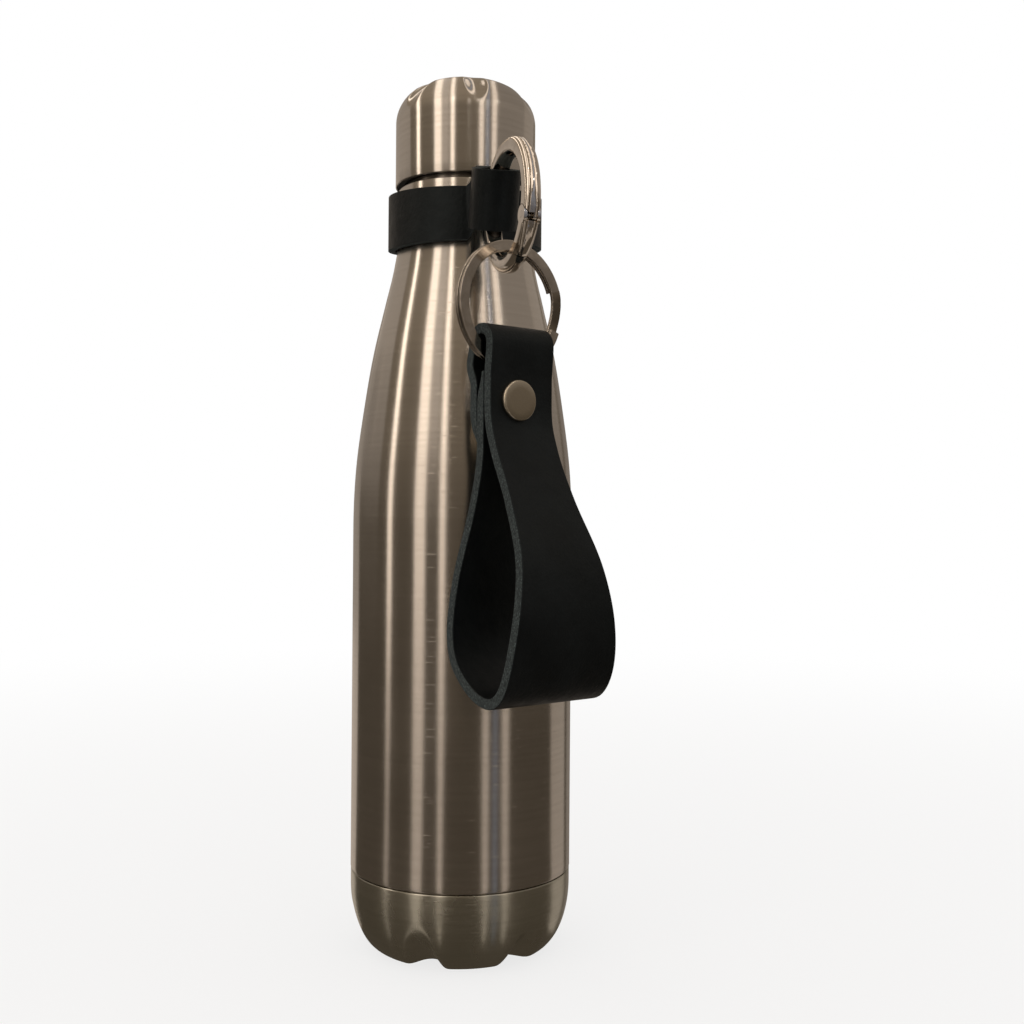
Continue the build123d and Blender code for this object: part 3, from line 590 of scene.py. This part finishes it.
# The strip's line, seen along its width: how far out, and how high
tail_top = (-layer_pitch, 166.8, 0)
fold_front = (layer_pitch, 168.8, 0)
stack_foot = (layer_pitch, 163.5, 0)
loop_front = (22.2, 105.95, 0)
loop_foot = (12.94, 85.33, 0)
loop_back = (-5.2, 114.98, 0)
tail = flow([(-layer_pitch, tail_end, 0), (-layer_pitch, 160, 0), tail_top], steps=9)[:-1]
over_ring = flow([tail_top, (-4.75, 172.4, 0), (-fold_radius, fold_height, 0)], rising, rising, 6)[:-1]
over_ring += fold_arc()[:-1]
over_ring += flow([(fold_radius, fold_height, 0), fold_front], falling, falling, 8)[:-1]
grip = flow([fold_front, stack_foot], steps=4)[:-1]
front_run = [(3.5, 156.9, 0), (5.8, 149.82, 0), (11.99, 137.09, 0), (20.65, 118.25, 0)]
grip += flow([stack_foot] + front_run + [loop_front], falling, falling, 12)[:-1]
grip += flow([loop_front, loop_foot], falling, inwards, 20)[:-1]
grip += flow([loop_foot, (-0.6, 93.22, 0), loop_back], inwards, rising, 14)[:-1]
grip += flow([loop_back, (-2.29, 136.02, 0), (0, tail_end, 0)], rising, rising, 12)[:-1]
inner_end = flow([(0, tail_end, 0), (0, 160, 0), (0, 170.8, 0)], steps=10)
strap_line = tail + over_ring + grip + inner_end


def smooth_share(value, low, high):
    """Eased share of the way from a low value to a high one."""
    share = min(1, max(0, (value - low) / (high - low)))
    return share * share * (3 - 2 * share)


tail_shares = [0.5 + 0.5 * smooth_share(p.y, 150.5, 156.5) for p in tail]
end_shares = [0.36 + 0.64 * smooth_share(-p.y, -171, -162.5) for p in inner_end]
strap_shares = tail_shares + [1.0] * (len(over_ring) + len(grip)) + end_shares
tail_narrowing = [1.5 * smooth_share(-p.y, -160, -150.5) for p in tail]
strap_narrowing = tail_narrowing + [0.0] * (len(strap_line) - len(tail))

strap_half, grip_widening, half_leather = 10.65, 7.15, 1.45
strap_edges = []
for side in (-1, 1):
    edge_line = []
    for p, share, narrowing in zip(strap_line, strap_shares, strap_narrowing):
        half_width = strap_half + grip_widening * smooth_share(-p.y, -144, -90) - narrowing
        out = p.x + half_leather * (1 - share)
        edge_line.append(strap_middle + handle_out * out + handle_across * side * half_width)
        edge_line[-1].z = p.y
    strap_edges.append(edge_line)
strip(
    strap_edges[0], strap_edges[1], strap_shares, 22, "handle_leather", "handle", 2.9, False,
    ("handle_strap",),
)


# Rivets, turned round their own axes
def rivet(name, spot, out, profile, body, node):
    """Turned rivet part on a spot, facing out, from a profile of radius and height."""
    bm = turned(profile, 72, closed=False)
    seat = Matrix.Translation(spot) @ out.to_track_quat("Z", "Y").to_matrix().to_4x4()
    bmesh.ops.transform(bm, matrix=seat, verts=bm.verts)
    return piece(bm, name, [rivet_nickel], body, (node,), 50)


def rivet_crown(radius, height):
    """Profile of a flat rivet crown with a narrow rounded rim."""
    rim = flow(
        [(radius - 0.2, 0, 0), (radius, 0.4 * height, 0), (radius - 0.5, 0.985 * height, 0)],
        (1, 0, 0), (-1, 0.03, 0), 8,
    )
    return [(0, 0)] + [tuple(p[:2]) for p in rim] + [(0.6 * radius, 0.995 * height), (0, height)]


def rivet_post(length, rim):
    """Profile of a rivet's post and foot: its shank, then the foot's rim."""
    shank = 1.6
    return [(0, length), (shank, length), (shank, 0)] + rim + [(0, rim[-1][1])]


half_stack = 4.45
rivet_seat = ring_middle - handle_across * 0.9 + Vector((0, 0, 163.18))
crown = rivet_crown(5.55, 1.5)
rivet("handle_rivet_crown", rivet_seat + handle_out * half_stack, handle_out, crown, "handle",
      "handle_rivet_cap")
post = rivet_post(2 * half_stack, [(4.4, 0), (4.6, -0.35), (4.3, -0.75), (3.6, -0.9)])
rivet("handle_rivet_foot", rivet_seat - handle_out * half_stack, handle_out, post, "handle",
      "handle_rivet_post")
half_pinch = 2.4
sideways = Vector((1, 0, 0))
tab_rivet = Vector((0, -28.9, tab_middle.z))
crown = rivet_crown(3.9, 1.2)
rivet("tab_rivet_crown", tab_rivet + sideways * half_pinch, sideways, crown, "collar",
      "collar_rivet_cap")
post = rivet_post(2 * half_pinch, [(3.75, 0), (3.9, -0.2), (3.6, -0.5)])
rivet("tab_rivet_foot", tab_rivet - sideways * half_pinch, sideways, post, "collar",
      "collar_rivet_post")

# Rings and gate keep the CAD's shapes with evenly shaded curves
smooth_copy("gate_ring", [ring_nickel], "ring", 30, crown_ring)
smooth_copy("gate", [ring_nickel], "ring_gate", 30, crown_ring)
smooth_copy("gate_pin", [ring_nickel], "ring")
smooth_copy("key_ring", [shaded_split_nickel], "split_ring")


# Screw threads: one round ridge on the stopper, one rolled into the mouth
def thread(name, inner, outer, foot, turns, finish, body):
    """Rounded screw ridge from an inner to an outer radius."""
    steps, pitch, half_root, half_crest = 64, 5, 0.9, 0.4
    bm = bmesh.new()
    section = [(inner, foot - half_root), (outer, foot - half_crest)]
    section += [(outer, foot + half_crest), (inner, foot + half_root)]
    verts = [bm.verts.new((r, 0, z)) for r, z in section]
    edges = [bm.edges.new(pair) for pair in zip(verts, verts[1:] + verts[:1])]
    bmesh.ops.spin(
        bm, geom=verts + edges, cent=(0, 0, 0), axis=(0, 0, 1), dvec=(0, 0, pitch / steps),
        angle=2 * pi * turns, steps=round(steps * turns),
    )
    bmesh.ops.holes_fill(bm, edges=bm.edges, sides=4)
    bmesh.ops.recalc_face_normals(bm, faces=bm.faces)
    return piece(bm, name, [finish], body, crease=50)


thread("stopper_thread", 14.1, 15.1, 224.5, 2.2, core_plastic, "cap")
thread("mouth_thread", 15.5, 14.5, 222.0, 2.6, steel_inside, "bottle")

# Pieces whose CAD shape is right only get their finish
kept = {
    "inner_flask": steel_inside,
    "inner_bottom": steel_inside,
    "outer_bottom": steel_inside,
    "getter": getter_pellet,
    "seal_bead": sealing_glass,
    "stopper_core": core_plastic,
    "stopper_lid": core_plastic,
    "foam_plug": insulating_foam,
    "seal_ring": seal_silicone,
    "gate_spring": spring_steel,
}
for name, finish in kept.items():
    cad[name].data.materials.clear()
    cad[name].data.materials.append(finish)

# Stage: a pale floor that turns white far off, a white world, a dark studio wall that is only a painted
# reflection, and tall lamps
def stage_card(bm, name, paint):
    """Floor, wall or card that isn't part of the bottle."""
    mesh = bpy.data.meshes.new(name)
    bm.to_mesh(mesh)
    bm.free()
    card = bpy.data.objects.new(name, mesh)
    bpy.context.collection.objects.link(card)
    mesh.materials.append(paint)
    return card


def seen_rays(owner):
    """One for rays that see or mirror a backdrop, nought for the rays that light the bottle."""
    ray = add(owner, "LightPath").outputs
    seen = add(owner, "Math", {0: ray["Is Camera Ray"], 1: ray["Is Glossy Ray"]}, operation="MAXIMUM")
    seen = add(owner, "Math", {0: seen.outputs[0], 1: ray["Is Transmission Ray"]}, operation="MAXIMUM")
    return seen.outputs[0]


floor_paint, floor_shader = finish_named(
    "pale_floor", Base_Color=(0.86, 0.855, 0.85, 1), Roughness=0.9, Specular_IOR_Level=0.1
)
place = add(floor_paint, "TexCoord").outputs["Object"]
far_off = add(floor_paint, "VectorMath", {0: place}, operation="LENGTH").outputs["Value"]
near_white = {"Value": far_off, 1: 0.05, 2: 0.9, 3: 0.76, 4: 1}
fade = add(floor_paint, "MapRange", near_white, interpolation_type="SMOOTHSTEP").outputs[0]
white_share = add(floor_paint, "Math", {0: fade, 1: seen_rays(floor_paint)}, operation="MULTIPLY")
glow = add(floor_paint, "Emission", {"Color": (1, 1, 1, 1), "Strength": 1.0})
mix = add(
    floor_paint, "MixShader", {0: white_share.outputs[0], 1: floor_shader.outputs[0], 2: glow.outputs[0]}
)
join(floor_paint, mix.outputs[0], floor_paint.node_tree.nodes["Material Output"].inputs["Surface"])
floor_bm = bmesh.new()
bmesh.ops.create_circle(floor_bm, cap_ends=True, radius=4, segments=96)
stage_card(floor_bm, "floor", floor_paint)

world = bpy.data.worlds.new("studio")
bpy.context.scene.world = world
world.use_nodes = True
sky = world.node_tree.nodes["Background"]
sky.inputs["Color"].default_value = (1, 1, 1, 1)
join(world, graded(world, seen_rays(world), 0, 1, 0.55, 1), sky.inputs["Strength"])


def gloss_card(bm, name, paint):
    """Stage card that only glossy surfaces see."""
    card = stage_card(bm, name, paint)
    for sight in ("visible_camera", "visible_diffuse", "visible_transmission", "visible_shadow"):
        setattr(card, sight, False)


def lit_paint(name, colour, glow=1.0):
    """Paint of an even light for a stage card."""
    return finish_named(
        name, Base_Color=(0, 0, 0, 1), Specular_IOR_Level=0.0, Emission_Color=(*colour, 1),
        Emission_Strength=glow,
    )


# Painted reflection: dark studio walls, ceiling and carpet drawn as a dim glowing cone that only gloss
# shows, dimmer towards the floor; its carpet keeps the pale floor out of the steel's reflections
wall_reflection_paint, wall_shader = lit_paint("painted_reflection_dark_studio", (0.074, 0.060, 0.045))
wall_place = add(wall_reflection_paint, "SeparateXYZ", {0: add(wall_reflection_paint, "TexCoord").outputs["Object"]})
wall_glow = graded(wall_reflection_paint, wall_place.outputs["Z"], 0.0, 1.8, 1.0, 4.2)
join(wall_reflection_paint, wall_glow, wall_shader.inputs["Emission Strength"])
wall_bm = bmesh.new()
bmesh.ops.create_cone(wall_bm, cap_ends=True, segments=96, radius1=2.2, radius2=1.6, depth=2.4)
bmesh.ops.translate(wall_bm, verts=wall_bm.verts, vec=(0, 0, 1.2003))
gloss_card(wall_bm, "painted_reflection_studio_wall", wall_reflection_paint)

# Ribbons of light: their distance, the height they are set out from and their room above the floor
ribbon_distance = 1.1
ribbon_eye = 0.17
floor_room = 0.0006
view_turn = radians(2.3)
view_climb = radians(8)
steep_from = radians(3.4)


def glimpse(facing, tilt):
    """Direction that the camera sees mirrored in steel that faces and tilts that way."""
    if tilt < steep_from:
        side, up = 2 * facing - view_turn, view_climb + 2 * tilt
        return to_bottle @ Vector((sin(side) * cos(up), -cos(side) * cos(up), sin(up)))
    across = cos(view_climb)
    seen = Vector((sin(view_turn) * across, -cos(view_turn) * across, -sin(view_climb)))
    normal = Vector((sin(facing) * cos(tilt), -cos(facing) * cos(tilt), sin(tilt)))
    return to_bottle @ (2 * seen.dot(normal) * normal - seen)


def light_ribbon(azimuth, width, colour, layers):
    """Ribbon of light, bent so that it shows as an even upright band in steel of any slope."""
    facing = (radians(azimuth) + view_turn) / 2
    mean_radius = 0.03
    middle = to_bottle @ Vector((mean_radius * sin(facing), -mean_radius * cos(facing), 0))
    middle.z += ribbon_eye
    for tilts, glow in layers:
        bm = bmesh.new()
        rows = []
        for tilt in tilts:
            row = []
            for side in (-1, 0, 1):
                away = glimpse(facing + side * radians(width / 4), radians(tilt))
                reach = ribbon_distance
                if middle.z + reach * away.z < floor_room:
                    reach = (floor_room - middle.z) / away.z
                row.append(bm.verts.new(middle + away * reach))
            rows.append(row)
        for low_row, high_row in zip(rows, rows[1:]):
            for i in range(2):
                bm.faces.new((low_row[i], low_row[i + 1], high_row[i + 1], high_row[i]))
        gloss_card(bm, "light_ribbon", lit_paint("lit_card", colour, glow)[0])


def area_lamp(name, energy, colour, place, turn, **settings):
    """Area lamp that the camera doesn't see."""
    data = bpy.data.lights.new(name, "AREA")
    for setting, value in settings.items():
        setattr(data, setting, value)
    data.energy = energy
    data.color = colour
    lamp = bpy.data.objects.new(name, data)
    bpy.context.collection.objects.link(lamp)
    lamp.location = place
    lamp.rotation_euler = turn.to_euler()
    lamp.visible_camera = False
    return lamp


# A ribbon's tilts from the foot up to the dome, and how bright each part is beside its lamp
low_tilts = (-47, -44, -40, -35, -29, -23, -18, -14, -11, -8.4)
body_tilts = (-8.4, -4.5, -0.5, 3.3)
body_share = 0.55
high_layers = (
    ((3.4, 6, 9), 0.8),
    ((9, 12, 15, 18.5), 0.9),
    ((18.5, 23, 28, 34, 40, 46, 52, 58, 64), 0.8),
)
lamp_height = 1.2
lamp_middle = 0.7


def strip_lamp(azimuth, width, strength, colour, painted_pool_share, lowest):
    """Tall lamp at a photograph azimuth, its width in degrees; steel sees it as a bent ribbon."""
    away = to_bottle @ Vector((sin(radians(azimuth)), -cos(radians(azimuth)), 0))
    lamp_width = 2 * ribbon_distance * tan(radians(width / 2))
    lamp = area_lamp(
        "strip_lamp", 0.8 * strength * pi * lamp_width * lamp_height, colour,
        away * ribbon_distance + Vector((0, 0, lamp_middle)), (-away).to_track_quat("-Z", "Z"),
        shape="RECTANGLE", size=lamp_width, size_y=lamp_height,
    )
    lamp.visible_glossy = False
    # The ribbon's lowest part lies on the floor: a painted pool of light that only gloss shows.
    layers = [(low_tilts, painted_pool_share), (body_tilts, body_share), *high_layers]
    for i in range(2):
        layers[i] = ([max(lowest, tilt) for tilt in layers[i][0]], layers[i][1])
    shown = [(tilts, strength * share) for tilts, share in layers if tilts[0] < tilts[-1]]
    light_ribbon(azimuth, width, colour, shown)


# Azimuth, width, strength, colour, share of it painted as a pool of light on the floor, and lowest tilt
warm = (1.0, 0.86, 0.73)
cool = (0.8, 0.85, 1.0)
strip_lamps = (
    (-78.5, 6, 3.0, warm, 0.1, -47),
    (-42.5, 12, 2.2, warm, 0.2, -47),
    (-30.5, 12, 0.75, warm, 0, 1.5),
    (-18.5, 6, 2.5, warm, 0.18, -47),
    (27, 7, 1.7, warm, 0.26, -47),
    (37, 5, 0.5, cool, 0.4, -47),
    (48, 8, 1.5, warm, 0.28, -47),
    (80, 56, 0.34, warm, 0, 0),
    (124, 32, 0.42, warm, 0.88, -47),
    (162, 32, 0.4, warm, 0.6, -47),
    (-152, 34, 0.55, warm, 0.9, -47),
    (-119, 46, 0.46, warm, 0, -3),
)
for settings in strip_lamps:
    strip_lamp(*settings)

# Small round ceiling lamps that sparkle in the polished rings
spark_width = 0.04
spark_distance = 0.95
for azimuth, elevation in ((8, 34), (24, 40), (38, 30), (60, 38), (-20, 44)):
    up = radians(elevation)
    flat = to_bottle @ Vector((sin(radians(azimuth)), -cos(radians(azimuth)), 0))
    away = flat * cos(up) + Vector((0, 0, sin(up)))
    area_lamp(
        "round_lamp", 2 * (pi * spark_width) ** 2, (1.0, 0.93, 0.84),
        Vector((0, 0, 0.2)) + away * spark_distance, (-away).to_track_quat("-Z", "Y"),
        shape="DISK", size=spark_width,
    )
